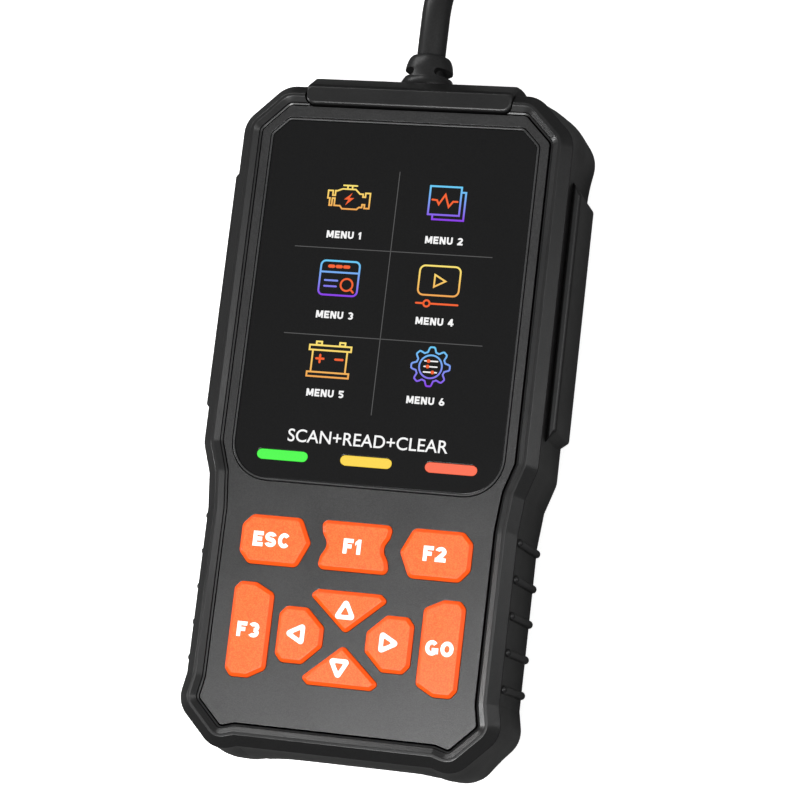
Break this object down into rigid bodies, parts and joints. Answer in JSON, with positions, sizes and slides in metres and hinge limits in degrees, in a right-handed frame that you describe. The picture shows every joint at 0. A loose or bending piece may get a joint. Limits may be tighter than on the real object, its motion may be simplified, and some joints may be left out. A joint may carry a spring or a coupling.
{
  "type": "vehicle diagnostic code reader",
  "caption": "Handheld code reader in a rubber bumper: colour screen, three status lamps, sprung orange keys and a coiled lead with a vehicle diagnostic plug.",
  "frame": {"origin": "centre of the reader's footprint on the surface it lies on, the lead not counted", "axes": "+X to the right as the screen is read, +Y towards the lead, +Z out of the screen"},
  "size_m": [0.1293, 0.3745, 0.036],
  "materials": {
    "black_casing": "fine moulded grain, satin black",
    "grey_casing": "fine moulded grain, dark grey",
    "bumper_rubber": "soft satin rubber",
    "screen_lens": "smoked clear lens, printed black behind",
    "lens_rim": "thin satin rim",
    "display": "display with lit menu",
    "flex_film": "amber film",
    "board_green": "green solder mask",
    "chip_black": "moulded chip bodies",
    "switch_steel": "pressed steel can",
    "led_body": "white lamp bodies",
    "header_ivory": "ivory nylon",
    "mat_rubber": "moulded silicone sheet",
    "key_orange": "soft orange keys, fine grain, white markings",
    "lamp_green": "lit green window",
    "lamp_yellow": "lit yellow window",
    "lamp_red": "lit red-orange window",
    "screw_steel": "zinc-plated screws",
    "lead_rubber": "smooth satin jacket",
    "wire_red": "thin insulated wires",
    "tie_fabric": "woven hook-and-loop strap",
    "insert_black": "dark grey contact block",
    "pin_metal": "gold-plated blades"
  },
  "bodies": {
    "casing": {"rear_case": "black_casing", "front_case": "grey_casing", "bumper": "bumper_rubber", "end_cap": "bumper_rubber", "screen_lens": "screen_lens", "lens_rim": "lens_rim", "display_module": "display", "display_flex": "flex_film", "main_board": "board_green", "board_chips": "chip_black", "key_switches": "switch_steel", "status_leds": "led_body", "buzzer": "chip_black", "lead_header": "header_ivory", "keypad_mat": "mat_rubber", "lamp_green": "lamp_green", "lamp_yellow": "lamp_yellow", "lamp_red": "lamp_red", "case_screws": "screw_steel", "board_screws": "screw_steel", "lead_clamp": "black_casing", "clamp_screws": "screw_steel", "strain_relief": "lead_rubber", "lead_inner": "lead_rubber", "lead_wires": "wire_red", "lead_out": "lead_rubber", "lead_coil": "lead_rubber", "coil_tie": "tie_fabric", "lead_tail": "lead_rubber", "plug_boot": "lead_rubber", "plug_shell": "black_casing", "plug_insert": "insert_black", "plug_pins": "pin_metal"},
    "exit_button": {"key_exit": "key_orange"},
    "codes_button": {"key_codes": "key_orange"},
    "battery_button": {"key_battery": "key_orange"},
    "monitor_button": {"key_monitor": "key_orange"},
    "ok_button": {"key_ok": "key_orange"},
    "up_button": {"key_up": "key_orange"},
    "down_button": {"key_down": "key_orange"},
    "left_button": {"key_left": "key_orange"},
    "right_button": {"key_right": "key_orange"}
  },
  "joints": [
    {"name": "press_exit", "type": "slide", "parent": "casing", "child": "exit_button", "axis": [0, 0, -1], "range_m": [0, 0.0008], "stiffness_N_per_m": 250, "springref_m": -0.0008},
    {"name": "press_codes", "type": "slide", "parent": "casing", "child": "codes_button", "axis": [0, 0, -1], "range_m": [0, 0.0008], "stiffness_N_per_m": 250, "springref_m": -0.0008},
    {"name": "press_battery", "type": "slide", "parent": "casing", "child": "battery_button", "axis": [0, 0, -1], "range_m": [0, 0.0008], "stiffness_N_per_m": 250, "springref_m": -0.0008},
    {"name": "press_monitor", "type": "slide", "parent": "casing", "child": "monitor_button", "axis": [0, 0, -1], "range_m": [0, 0.0008], "stiffness_N_per_m": 250, "springref_m": -0.0008},
    {"name": "press_ok", "type": "slide", "parent": "casing", "child": "ok_button", "axis": [0, 0, -1], "range_m": [0, 0.0008], "stiffness_N_per_m": 250, "springref_m": -0.0008},
    {"name": "press_up", "type": "slide", "parent": "casing", "child": "up_button", "axis": [0, 0, -1], "range_m": [0, 0.0008], "stiffness_N_per_m": 250, "springref_m": -0.0008},
    {"name": "press_down", "type": "slide", "parent": "casing", "child": "down_button", "axis": [0, 0, -1], "range_m": [0, 0.0008], "stiffness_N_per_m": 250, "springref_m": -0.0008},
    {"name": "press_left", "type": "slide", "parent": "casing", "child": "left_button", "axis": [0, 0, -1], "range_m": [0, 0.0008], "stiffness_N_per_m": 250, "springref_m": -0.0008},
    {"name": "press_right", "type": "slide", "parent": "casing", "child": "right_button", "axis": [0, 0, -1], "range_m": [0, 0.0008], "stiffness_N_per_m": 250, "springref_m": -0.0008}
  ]
}
